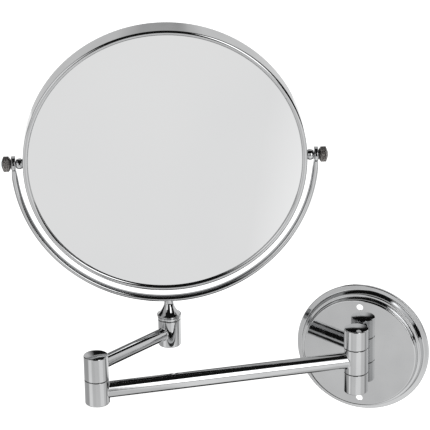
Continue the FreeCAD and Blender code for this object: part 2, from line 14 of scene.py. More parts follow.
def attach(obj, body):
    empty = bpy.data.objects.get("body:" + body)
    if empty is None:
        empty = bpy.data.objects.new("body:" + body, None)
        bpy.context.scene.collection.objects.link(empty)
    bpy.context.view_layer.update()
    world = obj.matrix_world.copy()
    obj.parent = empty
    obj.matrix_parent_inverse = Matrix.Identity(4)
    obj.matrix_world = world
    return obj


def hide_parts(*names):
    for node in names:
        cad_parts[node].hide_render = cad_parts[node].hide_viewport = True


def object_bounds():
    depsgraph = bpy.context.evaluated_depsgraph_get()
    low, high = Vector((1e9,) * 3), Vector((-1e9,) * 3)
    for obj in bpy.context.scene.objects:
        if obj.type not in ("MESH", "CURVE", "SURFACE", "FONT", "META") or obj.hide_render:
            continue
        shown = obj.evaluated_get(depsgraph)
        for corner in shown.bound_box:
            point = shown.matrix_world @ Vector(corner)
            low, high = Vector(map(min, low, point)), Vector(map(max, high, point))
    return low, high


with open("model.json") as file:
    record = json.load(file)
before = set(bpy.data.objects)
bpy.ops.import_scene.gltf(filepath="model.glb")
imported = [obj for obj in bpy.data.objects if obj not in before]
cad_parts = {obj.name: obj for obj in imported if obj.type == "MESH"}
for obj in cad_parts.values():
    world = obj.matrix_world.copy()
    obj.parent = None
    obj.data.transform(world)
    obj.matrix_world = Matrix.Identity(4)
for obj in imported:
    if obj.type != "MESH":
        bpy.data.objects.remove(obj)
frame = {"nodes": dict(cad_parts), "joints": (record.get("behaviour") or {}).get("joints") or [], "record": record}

CAD_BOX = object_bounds()
OBJECT_CENTRE = (CAD_BOX[0] + CAD_BOX[1]) / 2
MM = 0.001
TURN = 2 * math.pi
SEGMENTS = 160
ARC_STEPS = 6
SHARP_ANGLE = math.radians(38)

# ---- Places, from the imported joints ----
JOINTS = {joint["name"]: joint for joint in frame["joints"]}


def joint_point(name):
    return Vector(JOINTS[name]["pos_m"])


def heading(direction):
    """Turn about Z that brings +X to a level direction."""
    return Matrix.Rotation(math.atan2(direction.y, direction.x), 4, "Z")


HINGE = joint_point("wall_hinge")
ELBOW = joint_point("elbow_hinge")
SWIVEL = joint_point("yoke_swivel")
HEAD = joint_point("head_tilt")
HEAD_LEAN = math.radians(4.2)

FACING_ROOM = Matrix.Rotation(math.radians(90), 4, "X")
ON_WALL = FACING_ROOM
AT_HINGE = Matrix.Translation(HINGE)
ON_LONG_ARM = AT_HINGE @ heading(ELBOW - HINGE)
ON_SHORT_ARM = Matrix.Translation(ELBOW) @ heading(SWIVEL - ELBOW)
AT_LONG_ARM_END = Matrix.Translation(ELBOW) @ heading(ELBOW - HINGE)
AT_SHORT_ARM_END = Matrix.Translation(SWIVEL) @ heading(SWIVEL - ELBOW)
YOKE_TURN = heading(Vector(JOINTS["head_tilt"]["axis"]))
ON_YOKE = Matrix.Translation(SWIVEL) @ YOKE_TURN
ON_HEAD = Matrix.Translation(HEAD) @ YOKE_TURN @ Matrix.Rotation(HEAD_LEAN, 4, "X")
ROUND_HEAD = ON_HEAD @ FACING_ROOM


def to_side(side):
    """Axes of the head turned so that Z points out along the pivot on that side."""
    return ON_HEAD @ Matrix.Rotation(side * math.radians(90), 4, "Y")


def extent(node, place):
    """Lowest and highest corner of a CAD node in the axes of place, in millimetres."""
    inverse = place.inverted()
    points = [inverse @ vertex.co for vertex in frame["nodes"][node].data.vertices]
    lows = Vector(min(point[axis] for point in points) for axis in range(3))
    highs = Vector(max(point[axis] for point in points) for axis in range(3))
    return lows / MM, highs / MM


# ---- Sizes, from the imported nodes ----
PLATE_R = extent("wall_plate", ON_WALL)[1].x
PLATE_DEPTH = extent("wall_plate", ON_WALL)[1].z
HINGE_R = extent("long_arm_wall_knuckle", AT_HINGE)[1].x
ELBOW_R = extent("short_arm_elbow_knuckle", ON_SHORT_ARM)[1].x
SWIVEL_R = extent("short_arm_swivel_knuckle", AT_SHORT_ARM_END)[1].x
LONG_TUBE_R = extent("long_arm_tube", ON_LONG_ARM)[1].z
SHORT_TUBE_LOW, SHORT_TUBE_HIGH = (corner.z for corner in extent("short_arm_tube", ON_SHORT_ARM))
SHORT_TUBE_R = (SHORT_TUBE_HIGH - SHORT_TUBE_LOW) / 2
SHORT_ARM_Z = (SHORT_TUBE_HIGH + SHORT_TUBE_LOW) / 2
LONG_ARM_LENGTH = (ELBOW - HINGE).length / MM
SHORT_ARM_LENGTH = Vector((SWIVEL - ELBOW).xy).length / MM
HEAD_Z = (HEAD - SWIVEL).z / MM
RIM_R = extent("rim_band", ROUND_HEAD)[1].x
HALF_DEPTH = extent("front_bezel", ROUND_HEAD)[1].z
GLASS_R = extent("front_glass", ROUND_HEAD)[1].x
GLASS_BACK, GLASS_FRONT = (corner.z for corner in extent("front_glass", ROUND_HEAD))
BALL_R = extent("right_pivot_ball", ON_HEAD)[1].z
BALL_INNER, BALL_OUTER = (corner.x for corner in extent("right_pivot_ball", ON_HEAD))
NUT_INNER, NUT_OUTER = (corner.x for corner in extent("right_knob", ON_HEAD))
NUT_R = extent("right_knob", ON_HEAD)[1].z
NUT_WASHER_INNER, NUT_WASHER_OUTER = (c.x for c in extent("right_knob_washer", ON_HEAD))
NUT_WASHER_R = extent("right_knob_washer", ON_HEAD)[1].z
PIN_BORE_R = 3.05
COUNTERBORE_R = 5.8
COUNTERBORE_H = 4.6
STUD_BORE_R = 2.05
SCREW_HOLE_R = 2.5
SCREW_HOLE_Z = 36.6
FOOT_R = 5.5
FIXING_WASHER_R = 4.6
FOOT_Z = extent("hinge_fixing_washers", ON_WALL)[1].y - FIXING_WASHER_R
FIXING_HOLE_R = 2.2
FIXING_THREAD_R = 2.02
FIXING_DEPTH = 6.2
PIN_CAP = 4.0
CAP_CROWN = 0.5
BALL_GAP = 0.1
YOKE_R = (extent("yoke", ON_YOKE)[1].x + BALL_OUTER + BALL_GAP) / 2
EYE_R = extent("yoke", ON_YOKE)[1].z - HEAD_Z
EYE_HALF = 1.5
BAR_RADIAL = 2.3
BAR_AXIAL = 3.5
BAND_WALL = 1.2
BAND_EDGE = extent("rim_band", ROUND_HEAD)[1].z
BEZEL_INNER_R = 97.6
MAGNIFIER_RADIUS = 905.0
EDGE_ROUND = 0.3
BORE_ROUND = 0.2


# ---- Mesh helpers ----
def finished(name, mesh, place):
    """Object from a mesh in millimetres, brought to its place, smooth with crisp corners."""
    mesh.transform(place @ Matrix.Scale(MM, 4))
    mesh.shade_smooth()
    mesh.set_sharp_from_angle(angle=SHARP_ANGLE)
    piece = bpy.data.objects.new(name, mesh)
    bpy.context.scene.collection.objects.link(piece)
    weighted = piece.modifiers.new("weighted_normals", "WEIGHTED_NORMAL")
    weighted.keep_sharp = True
    weighted.weight = 90
    return piece


def mesh_of_rings(name, rings, closed):
    """Closed mesh through rings of points. A ring of one point is a pole."""
    bm = bmesh.new()
    made = [[bm.verts.new(point) for point in ring] for ring in rings]
    pairs = list(zip(made, made[1:])) + ([(made[-1], made[0])] if closed else [])
    for near, far in pairs:
        count = max(len(near), len(far))
        for i in range(count):
            j = (i + 1) % count
            if len(near) == 1:
                bm.faces.new((near[0], far[j], far[i]))
            elif len(far) == 1:
                bm.faces.new((near[i], near[j], far[0]))
            else:
                bm.faces.new((near[i], near[j], far[j], far[i]))
    if not closed:
        for ring in (made[0], made[-1]):
            if len(ring) > 2:
                bm.faces.new(ring)
    bmesh.ops.recalc_face_normals(bm, faces=bm.faces)
    mesh = bpy.data.meshes.new(name)
    bm.to_mesh(mesh)
    bm.free()
    return mesh


def rounded(*corners):
    """Outline of (radius, height) points from corners. A third value rounds that corner."""
    outline = []
    for i, corner in enumerate(corners):
        here = Vector(corner[:2])
        if len(corner) == 2:
            outline.append(here)
            continue
        before = Vector(corners[i - 1][:2]) - here
        after = Vector(corners[(i + 1) % len(corners)][:2]) - here
        half = before.angle(after) / 2
        reach = min(corner[2] / math.tan(half), 0.49 * min(before.length, after.length))
        start = here + before.normalized() * reach
        end = here + after.normalized() * reach
        centre = here + (before.normalized() + after.normalized()).normalized() * (
            reach / math.cos(half)
        )
        first, last = start - centre, end - centre
        sweep = first.angle_signed(last)
        for step in range(ARC_STEPS + 1):
            arm = first.copy()
            arm.rotate(Matrix.Rotation(-sweep * step / ARC_STEPS, 2))
            outline.append(centre + arm)
    return outline


def arc(start, through, end, steps=16):
    """Points of the arc between three (radius, height) points, without its first point."""
    a, b, c = Vector(start), Vector(through), Vector(end)
    d = 2 * (a.x * (b.y - c.y) + b.x * (c.y - a.y) + c.x * (a.y - b.y))
    squares = [point.length_squared for point in (a, b, c)]
    centre = Vector(
        (
            (squares[0] * (b.y - c.y) + squares[1] * (c.y - a.y) + squares[2] * (a.y - b.y)) / d,
            (squares[0] * (c.x - b.x) + squares[1] * (a.x - c.x) + squares[2] * (b.x - a.x)) / d,
        )
    )
    angles = [math.atan2(point.y - centre.y, point.x - centre.x) for point in (a, b, c)]
    sweep = (angles[2] - angles[0]) % TURN
    if (angles[1] - angles[0]) % TURN > sweep:
        sweep -= TURN
    radius = (a - centre).length
    points = []
    for step in range(1, steps + 1):
        angle = angles[0] + sweep * step / steps
        points.append(centre + radius * Vector((math.cos(angle), math.sin(angle))))
    return points


def outline_through(start, *steps):
    """Outline from start. A step is a point, or a pair of points for an arc through the first."""
    outline = [Vector(start)]
    for step in steps:
        if isinstance(step[0], tuple):
            outline += arc(outline[-1], *step, steps=ARC_STEPS)
        else:
            outline.append(Vector(step))
    return outline


def crowned_cap(radius, bottom, top, top_round):
    """Outside of a knuckle's outline, with a slightly crowned top face."""
    shoulder = top - CAP_CROWN
    side = rounded((0, bottom), (radius, bottom, EDGE_ROUND), (radius, shoulder, top_round),
                   (0, shoulder))
    rim = side[-2]
    return side[1:-1] + arc(rim, (rim.x / 2, top - CAP_CROWN / 4), (0, top), 24)


def blind_knuckle(radius, near, far, top_round):
    """Outline of a knuckle with a bore from near, closed by a crowned cap at far."""
    bore = outline_through((0, far - PIN_CAP), (PIN_BORE_R, far - PIN_CAP), (PIN_BORE_R, near))
    return bore + crowned_cap(radius, near, far, top_round)


def open_knuckle(radius, low, high, foot_round):
    """Outline of a knuckle with a bore right through and a counterbore for the pin's head below."""
    seat = low + COUNTERBORE_H
    return rounded(
        (PIN_BORE_R, high), (radius, high, EDGE_ROUND), (radius, low, foot_round),
        (COUNTERBORE_R, low, BORE_ROUND), (COUNTERBORE_R, seat), (PIN_BORE_R, seat),
    )


def turned(name, outline, place, closed=False, segments=SEGMENTS):
    """Solid turned about Z from an outline of (radius, height) points."""
    rings = []
    for radius, height in outline:
        if radius < 1e-6:
            rings.append([Vector((0, 0, height))])
            continue
        rings.append(
            [
                Vector((radius * math.cos(TURN * i / segments),
                        radius * math.sin(TURN * i / segments), height))
                for i in range(segments)
            ]
        )
    return finished(name, mesh_of_rings(name, rings, closed), place)


def boolean(piece, tool, operation):
    """Join tool to piece or cut it away, and remove the tool."""
    modifier = piece.modifiers.new("join", "BOOLEAN")
    modifier.operation = operation
    modifier.solver = "EXACT"
    modifier.object = tool
    weighted = piece.modifiers["weighted_normals"]
    weighted.show_viewport = False
    bpy.context.view_layer.update()
    result = piece.evaluated_get(bpy.context.evaluated_depsgraph_get())
    mesh = bpy.data.meshes.new_from_object(result)
    piece.modifiers.remove(modifier)
    old = piece.data
    piece.data = mesh
    mesh.name = old.name
    weighted.show_viewport = True
    bpy.data.meshes.remove(old)
    bpy.data.objects.remove(tool)
    mesh.shade_smooth()
    mesh.set_sharp_from_angle(angle=SHARP_ANGLE)
    return piece


def round_bar(radius, start, end, place, segments=64):
    outline = [(0, start), (radius, start), (radius, end), (0, end)]
    return turned("cutting_bar", outline, place, segments=segments)


def drilled(piece, radius, start, end, place):
    """Piece with a round hole along the Z axis of place."""
    return boolean(piece, round_bar(radius, start, end, place), "DIFFERENCE")


def settle(piece, body, slot, material, *nodes):
    """Give a finished piece its material and its body, and hide the CAD nodes that it stands for."""
    piece.data.materials.clear()
    piece.data.materials.append(material)
    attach(piece, body)
    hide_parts(*nodes)
    return piece


# ---- Pieces of the wall mount ----
def wall_plate(chrome):
    """Pressed cover with two stepped walls, open at the back."""
    sheet, flat_r = 1.2, 41.3
    outside = outline_through(
        (0, PLATE_DEPTH),
        (flat_r, PLATE_DEPTH),
        ((42.2, 11.8), (42.6, 10.9)),
        (42.8, 8.1),
        ((43.0, 7.55), (43.5, 7.3)),
        (44.3, 7.2),
        ((45.0, 6.95), (45.2, 6.3)),
        (45.85, 3.0),
        ((46.2, 2.35), (46.9, 2.1)),
        (49.2, 1.95),
        ((49.65, 1.75), (PLATE_R, 1.3)),
        (PLATE_R, 0),
        (PLATE_R - sheet, 0),
        (PLATE_R - sheet, 0.7),
        (45.9, 0.9),
        (44.75, 2.3),
        (44.1, 5.6),
        (43.7, 6.0),
        (41.9, 6.2),
        (41.5, 7.0),
        (41.35, 10.0),
        (40.6, PLATE_DEPTH - sheet),
        (0, PLATE_DEPTH - sheet),
    )
    plate = turned("wall_cover", outside, ON_WALL, segments=256)
    for sign in (-1, 1):
        screw = Matrix.Translation((0, 0, sign * SCREW_HOLE_Z * MM)) @ ON_WALL
        drilled(plate, SCREW_HOLE_R, 1, PLATE_DEPTH + 2, screw)
        fixing = Matrix.Translation((0, 0, sign * FOOT_Z * MM)) @ ON_WALL
        drilled(plate, FIXING_HOLE_R, 1, PLATE_DEPTH + 2, fixing)
    return settle(plate, "wall_mount", "chrome", chrome, "wall_plate")


def fixed_knuckle(chrome, node, sign):
    """Knuckle and the foot that stands it off the cover, above the arm or below it."""
    end_round = 0.6
    low, high = (corner.z for corner in extent(node, AT_HINGE))
    if sign > 0:
        outline = blind_knuckle(HINGE_R, low, high, end_round)
        knuckle = turned("hinge_top_knuckle", outline, AT_HINGE)
    else:
        outline = open_knuckle(HINGE_R, low, high, end_round)
        knuckle = turned("hinge_bottom_knuckle", outline, AT_HINGE, closed=True)
    toward_wall = Matrix.Rotation(math.radians(-90), 4, "X")
    foot_place = AT_HINGE @ Matrix.Translation((0, 0, sign * FOOT_Z * MM)) @ toward_wall
    standoff = -HINGE.y / MM - PLATE_DEPTH
    foot_start = 0.75 * HINGE_R
    boolean(knuckle, round_bar(FOOT_R, foot_start, standoff, foot_place, 96), "UNION")
    drilled(knuckle, FIXING_THREAD_R, standoff - FIXING_DEPTH, standoff + 1, foot_place)
    return settle(knuckle, "wall_mount", "chrome", chrome, node)


# ---- Arms ----
def brazed_tube(name, radius, wall, length, start_r, end_r, height, place):
    """Tube along X whose ends fit round knuckles, with a small braze fillet at each."""
    fillet = 0.7
    inner = radius - wall

    def ring_at(ring_radius, x_of):
        ring = []
        for i in range(SEGMENTS):
            angle = TURN * i / SEGMENTS
            y, z = ring_radius * math.cos(angle), ring_radius * math.sin(angle)
            ring.append(Vector((x_of(y), y, height + z)))
        return ring

    def fillet_rings(knuckle_r, end):
        """Rings from the knuckle's surface to the tube's, along a curve that touches both."""
        rings = []
        for step in range(ARC_STEPS + 1):
            t = step / ARC_STEPS
            ring = []
            for i in range(SEGMENTS):
                angle = TURN * i / SEGMENTS
                on_knuckle, corner = (
                    Vector((math.sqrt(knuckle_r**2 - (r * math.cos(angle)) ** 2),
                            r * math.cos(angle), r * math.sin(angle)))
                    for r in (radius + fillet, radius)
                )
                on_tube = corner + Vector((fillet, 0, 0))
                point = (1 - t) ** 2 * on_knuckle + 2 * t * (1 - t) * corner + t**2 * on_tube
                x = point.x if end == 0 else length - point.x
                ring.append(Vector((x, point.y, height + point.z)))
            rings.append(ring)
        return rings

    def saddle(knuckle_r):
        return lambda y: math.sqrt(knuckle_r**2 - y**2)

    rings = [ring_at(inner, saddle(start_r))]
    rings += fillet_rings(start_r, 0)
    rings += reversed(fillet_rings(end_r, 1))
    rings.append(ring_at(inner, lambda y: length - saddle(end_r)(y)))
    return finished(name, mesh_of_rings(name, rings, closed=True), place)


def long_arm(chrome):
    tube_wall, foot_round = 1.1, 1.1
    half = extent("long_arm_wall_knuckle", AT_HINGE)[1].z
    sleeve = rounded((PIN_BORE_R, -half), (HINGE_R, -half, EDGE_ROUND),
                     (HINGE_R, half, EDGE_ROUND), (PIN_BORE_R, half))
    knuckle = turned("arm_hinge_knuckle", sleeve, ON_LONG_ARM, closed=True)
    settle(knuckle, "long_arm", "chrome", chrome, "long_arm_wall_knuckle")
    tube = brazed_tube("arm_long_tube", LONG_TUBE_R, tube_wall, LONG_ARM_LENGTH, HINGE_R, ELBOW_R,
                       0, ON_LONG_ARM)
    settle(tube, "long_arm", "chrome", chrome, "long_arm_tube")
    low, high = (corner.z for corner in extent("long_arm_elbow_knuckle", AT_LONG_ARM_END))
    elbow = turned("elbow_lower_knuckle", open_knuckle(ELBOW_R, low, high, foot_round),
                   AT_LONG_ARM_END, closed=True)
    settle(elbow, "long_arm", "chrome", chrome, "long_arm_elbow_knuckle")


def short_arm(chrome):
    tube_wall, top_round, foot_round = 1.0, 0.7, 0.8
    low, high = (corner.z for corner in extent("short_arm_elbow_knuckle", ON_SHORT_ARM))
    outline = blind_knuckle(ELBOW_R, low, high, top_round)
    elbow = turned("elbow_upper_knuckle", outline, ON_SHORT_ARM)
    settle(elbow, "short_arm", "chrome", chrome, "short_arm_elbow_knuckle")
    tube = brazed_tube("arm_short_tube", SHORT_TUBE_R, tube_wall, SHORT_ARM_LENGTH, ELBOW_R,
                       SWIVEL_R, SHORT_ARM_Z, ON_SHORT_ARM)
    settle(tube, "short_arm", "chrome", chrome, "short_arm_tube")
    low, high = (corner.z for corner in extent("short_arm_swivel_knuckle", AT_SHORT_ARM_END))
    swivel = turned("swivel_knuckle", open_knuckle(SWIVEL_R, low, high, foot_round),
                    AT_SHORT_ARM_END, closed=True)
    settle(swivel, "short_arm", "chrome", chrome, "short_arm_swivel_knuckle")


# ---- Yoke ----
def collar_and_bell(chrome):
    low, high = (corner.z for corner in extent("swivel_collar", ON_YOKE))
    radius = extent("swivel_collar", ON_YOKE)[1].x
    groove_h, groove_r, shoulder_round = 0.3, radius - 0.7, 0.5
    ring = rounded(
        (PIN_BORE_R, low), (radius, low, EDGE_ROUND), (radius, high - groove_h, shoulder_round),
        (groove_r, high - groove_h), (groove_r, high), (PIN_BORE_R, high),
    )
    collar = turned("neck_ring", ring, ON_YOKE, closed=True)
    settle(collar, "yoke_frame", "chrome", chrome, "swivel_collar")
    foot = extent("swivel_bell", ON_YOKE)[0].z
    below_bar_middle = 0.7
    lip_r, neck_r, neck_top = 9.0, 3.3, HEAD_Z - YOKE_R - below_bar_middle
    flare = [Vector((neck_r, foot + 11.4))]
    flare += arc(flare[0], (4.95, foot + 5.4), (lip_r - 0.8, foot + 1.2), 24)
    outline = [Vector((0, neck_top)), Vector((neck_r, neck_top))] + flare
    outline += arc(flare[-1], (lip_r, foot + 0.6), (lip_r - 0.6, foot), 12)
    tip_r, tip_top = 2.5, foot + 6.5
    outline += [Vector((tip_r, foot)), Vector((tip_r, tip_top)), Vector((0, tip_top))]
    bell = turned("yoke_bell", outline, ON_YOKE)
    settle(bell, "yoke_frame", "chrome", chrome, "swivel_bell")


def smooth_step(value, start, end):
    """0 before start, 1 after end, and an even curve between them."""
    t = min(max((value - start) / (end - start), 0), 1)
    return t * t * (3 - 2 * t)


def yoke(chrome):
    """Flat-oval bar bent to a half circle, its ends flattened into round eyes."""
    around, bow_steps = 48, 60
    eye_power, bar_power = 4.5, 2
    blend_start, blend_end = 1.5, 12
    quarter = YOKE_R * math.pi / 2
    past_pivot = [EYE_R * math.sin(math.radians(a)) for a in (84, 75, 66, 56, 45, 34, 23, 12, 0)]
    before_pivot = (1, 2, 3, 4, 4.6, 5.2, 5.8, 6.5, 7.5, 8.5, 10, 12)
    bow = quarter - 14
    stations = [quarter + reach for reach in past_pivot]
    stations += [quarter - reach for reach in before_pivot]
    stations += [bow - bow * step / bow_steps for step in range(bow_steps + 1)]
    stations += [-station for station in reversed(stations[:-1])]

    def section(station):
        """Bar's half sizes, outward and along the bow's axis, and the power that shapes its corners."""
        below_pivot = quarter - abs(station)
        eye_half = math.sqrt(max(EYE_R**2 - below_pivot**2, 0))
        bar = smooth_step(below_pivot, blend_start, blend_end)
        axial = max(eye_half, BAR_AXIAL) if below_pivot > 0 else eye_half
        radial = EYE_HALF + (BAR_RADIAL - EYE_HALF) * bar
        power = 2 / (eye_power + (bar_power - eye_power) * bar)
        return radial, axial, power

    rings = []
    for station in stations:
        radial, axial, power = section(station)
        angle = max(-quarter, min(quarter, station)) / YOKE_R
        past = max(abs(station) - quarter, 0)
        centre = Vector((YOKE_R * math.sin(angle), 0, HEAD_Z - YOKE_R * math.cos(angle) + past))
        outward = Vector((math.sin(angle), 0, -math.cos(angle)))
        ring = []
        for i in range(around):
            turn = TURN * i / around
            c, s = math.cos(turn), math.sin(turn)
            across = radial * math.copysign(abs(c) ** power, c)
            along = axial * math.copysign(abs(s) ** power, s)
            ring.append(centre + across * outward + Vector((0, along, 0)))
        rings.append(ring)
    bar = finished("yoke_bow", mesh_of_rings("yoke_bow", rings, closed=False), ON_YOKE)
    for side in (-1, 1):
        drilled(bar, STUD_BORE_R, YOKE_R - 5, YOKE_R + 5, to_side(side))
    return settle(bar, "yoke_frame", "chrome", chrome, "yoke")


# ---- Pivots ----
def pivot_ball(chrome, side, name):
    middle, half = (BALL_OUTER + BALL_INNER) / 2, (BALL_OUTER - BALL_INNER) / 2
    flat_r = math.sqrt(BALL_R**2 - half**2)
    start = Vector((flat_r, BALL_INNER))
    outline = [Vector((STUD_BORE_R, BALL_OUTER)), Vector((STUD_BORE_R, BALL_INNER)), start]
    outline += arc(start, (BALL_R, middle), (flat_r, BALL_OUTER), 32)
    ball = turned(f"{name}_ball", outline, to_side(side), closed=True, segments=96)
    return settle(ball, "mirror_head", "chrome", chrome, f"{name}_pivot_ball")


def nut_washer(steel, side, name):
    inner, outer, edge_round = NUT_WASHER_INNER, NUT_WASHER_OUTER, 0.1
    outline = rounded((STUD_BORE_R, inner), (NUT_WASHER_R, inner, edge_round),
                      (NUT_WASHER_R, outer, edge_round), (STUD_BORE_R, outer))
    washer = turned(f"{name}_nut_washer", outline, to_side(side), closed=True, segments=96)
    return settle(washer, f"{name}_nut", "steel", steel, f"{name}_knob_washer")


def thumb_nut(metal, side, name):
    """Nut with a diamond knurl round it and a low cone, slightly domed, at each end."""
    around, teeth, tooth_depth = 336, 24, 0.34
    inner_face_r, inner_cone, outer_cone = 2.8, 1.7, 1.6
    bore_end = NUT_OUTER - 2.4
    knurl_start, knurl_end = NUT_INNER + inner_cone, NUT_OUTER - outer_cone
    run_out = 0.35 * TURN * NUT_R / teeth

    def knurl(angle, height):
        """Depth of the two crossing sets of grooves below the crests."""
        lift = (height - knurl_start) / NUT_R
        waves = [0.5 - 0.5 * math.cos(teeth * (angle + sign * lift)) for sign in (-1, 1)]
        edge = min(height - knurl_start, knurl_end - height) / run_out
        return tooth_depth * max(waves) ** 1.5 * min(max(edge, 0), 1)

    profile = [(STUD_BORE_R, bore_end), (STUD_BORE_R, NUT_INNER), (inner_face_r, NUT_INNER)]
    middle = ((inner_face_r + NUT_R) / 2 + 0.12, NUT_INNER + inner_cone / 2 - 0.05)
    profile += [tuple(p) for p in arc(profile[-1], middle, (NUT_R - 0.05, knurl_start), 8)]
    steps = 28
    profile += [(NUT_R, knurl_start + (knurl_end - knurl_start) * i / steps)
                for i in range(steps + 1)]
    crown = ((NUT_R + 1.6) / 2 + 0.1, NUT_OUTER - outer_cone / 2 + 0.06)
    profile += [tuple(p) for p in arc((NUT_R, knurl_end), crown, (1.5, NUT_OUTER - 0.02), 10)]
    rings = [[Vector((0, 0, bore_end))]]
    for radius, height in profile:
        ring = []
        for i in range(around):
            angle = TURN * i / around
            r = radius
            if knurl_start <= height <= knurl_end and radius > NUT_R - 0.1:
                r -= knurl(angle, height)
            ring.append(Vector((r * math.cos(angle), r * math.sin(angle), height)))
        rings.append(ring)
    rings.append([Vector((0, 0, NUT_OUTER))])
    mesh = mesh_of_rings(f"{name}_thumb_nut", rings, closed=False)
    nut = finished(f"{name}_thumb_nut", mesh, to_side(side))
    return settle(nut, f"{name}_nut", "knob_metal", metal, f"{name}_knob")


# ---- Mirror head ----
def rim_band(chrome):
    inner, edge_round = RIM_R - BAND_WALL, 0.1
    outline = rounded((inner, -BAND_EDGE), (RIM_R, -BAND_EDGE, edge_round),
                      (RIM_R, BAND_EDGE, edge_round), (inner, BAND_EDGE))
    band = turned("head_band", outline, ROUND_HEAD, closed=True, segments=384)
    for side in (-1, 1):
        drilled(band, STUD_BORE_R, RIM_R - 3, RIM_R + 3, to_side(side))
    return settle(band, "mirror_head", "chrome", chrome, "rim_band")


def bezel(chrome, name, node, place):
    """Rounded lip from the band to the glass, with a seat behind it for the glass's edge."""
    glass_gap, skirt_depth, crest_inset = 0.2, 1.6, 1.7
    seat_r, skirt, skirt_r = GLASS_R + glass_gap, GLASS_FRONT - skirt_depth, RIM_R - BAND_WALL
    outline = [Vector((RIM_R, BAND_EDGE))]
    outline += arc(outline[0], (RIM_R - crest_inset, HALF_DEPTH), (BEZEL_INNER_R, GLASS_FRONT), 24)
    outline += [Vector(point) for point in (
        (seat_r, GLASS_FRONT), (seat_r, skirt), (skirt_r, skirt), (skirt_r, BAND_EDGE)
    )]
    ring = turned(name, outline, place, closed=True, segments=384)
    return settle(ring, "mirror_head", "chrome", chrome, node)


def glasses(mirror):
    flat = rounded((0, GLASS_BACK), (GLASS_R, GLASS_BACK, EDGE_ROUND),
                   (GLASS_R, GLASS_FRONT, EDGE_ROUND), (0, GLASS_FRONT))
    front = turned("plain_glass", flat, ROUND_HEAD, segments=384)
    settle(front, "mirror_head", "mirror_glass", mirror, "front_glass")
    thickness = 2.5
    centre = -GLASS_FRONT - math.sqrt(MAGNIFIER_RADIUS**2 - GLASS_R**2)

    def dish(radius, ball_r):
        return Vector((radius, centre + math.sqrt(ball_r**2 - radius**2)))

    steps = 40
    radii = [GLASS_R * step / steps for step in range(steps + 1)]
    outline = [dish(radius, MAGNIFIER_RADIUS) for radius in radii]
    outline += [dish(radius, MAGNIFIER_RADIUS + thickness) for radius in reversed(radii)]
    rear = turned("magnifying_glass", outline, ROUND_HEAD, segments=256)
    settle(rear, "mirror_head", "mirror_glass", mirror, "rear_glass")


# ---- Materials ----
def shader_setup(name):
    material = bpy.data.materials.new(name)
    material.use_nodes = True
    nodes, links = material.node_tree.nodes, material.node_tree.links
    shader = nodes["Principled BSDF"]
    place = nodes.new("ShaderNodeTexCoord")
    return material, nodes, links, shader, place.outputs["Object"]


def noise(nodes, links, place, scale, detail=4.0, stretch=None):
    """Noise value over the object's own coordinates, with an optional stretch of the axes."""
    if stretch:
        mapping = nodes.new("ShaderNodeMapping")
        mapping.inputs["Scale"].default_value = stretch
        links.new(place, mapping.inputs["Vector"])
        place = mapping.outputs["Vector"]
    texture = nodes.new("ShaderNodeTexNoise")
    texture.inputs["Scale"].default_value = scale
    texture.inputs["Detail"].default_value = detail
    links.new(place, texture.inputs["Vector"])
    return texture.outputs["Fac"]


def ramp(nodes, links, value, low, high, start=0.35, end=0.65):
    """Colour or grey between low and high as value goes from start to end."""
    node = nodes.new("ShaderNodeValToRGB")
    stops = node.color_ramp.elements
    stops[0].position, stops[1].position = start, end
    stops[0].color, stops[1].color = ((*tone, 1) if len(tone) == 3 else (*tone * 3, 1)
                                      for tone in (low, high))
    links.new(value, node.inputs["Fac"])
    return node.outputs["Color"]


def bump(nodes, links, shader, height, strength, distance):
    node = nodes.new("ShaderNodeBump")
    node.inputs["Strength"].default_value = strength
    node.inputs["Distance"].default_value = distance
    links.new(height, node.inputs["Height"])
    links.new(node.outputs["Normal"], shader.inputs["Normal"])


def polished_chrome():
    """Plated metal: faint tonal drift, a slight haze in places and a very slight orange peel."""
    material, nodes, links, shader, place = shader_setup("polished_chrome")
    shader.inputs["Metallic"].default_value = 1.0
    drift = noise(nodes, links, place, 28, 3)
    links.new(ramp(nodes, links, drift, (0.57, 0.575, 0.58), (0.63, 0.635, 0.64)),
              shader.inputs["Base Color"])
    haze = noise(nodes, links, place, 160, 5)
    links.new(ramp(nodes, links, haze, (0.03,), (0.07,)), shader.inputs["Roughness"])
    peel = noise(nodes, links, place, 420, 2)
    bump(nodes, links, shader, peel, 0.04, 0.0002)
    return material


def silvered_glass():
    """Clear glass over silver: slightly grey, with a trace of streaks from wiping."""
    material, nodes, links, shader, place = shader_setup("silvered_glass")
    shader.inputs["Metallic"].default_value = 1.0
    drift = noise(nodes, links, place, 6, 2)
    links.new(ramp(nodes, links, drift, (0.90, 0.905, 0.91), (0.93, 0.933, 0.935)),
              shader.inputs["Base Color"])
    streaks = noise(nodes, links, place, 30, 4, stretch=(1, 1, 0.25))
    links.new(ramp(nodes, links, streaks, (0.0,), (0.012,)), shader.inputs["Roughness"])
    return material


def dull_metal():
    """Worn knurled metal: mottled dark and mid grey, with a fine pitting."""
    material, nodes, links, shader, place = shader_setup("dull_metal")
    shader.inputs["Metallic"].default_value = 0.85
    mottle = noise(nodes, links, place, 900, 6)
    links.new(ramp(nodes, links, mottle, (0.13, 0.12, 0.115), (0.42, 0.40, 0.385), 0.38, 0.62),
              shader.inputs["Base Color"])
    links.new(ramp(nodes, links, mottle, (0.32,), (0.5,)), shader.inputs["Roughness"])
    bump(nodes, links, shader, noise(nodes, links, place, 2400, 3), 0.25, 0.0002)
    return material


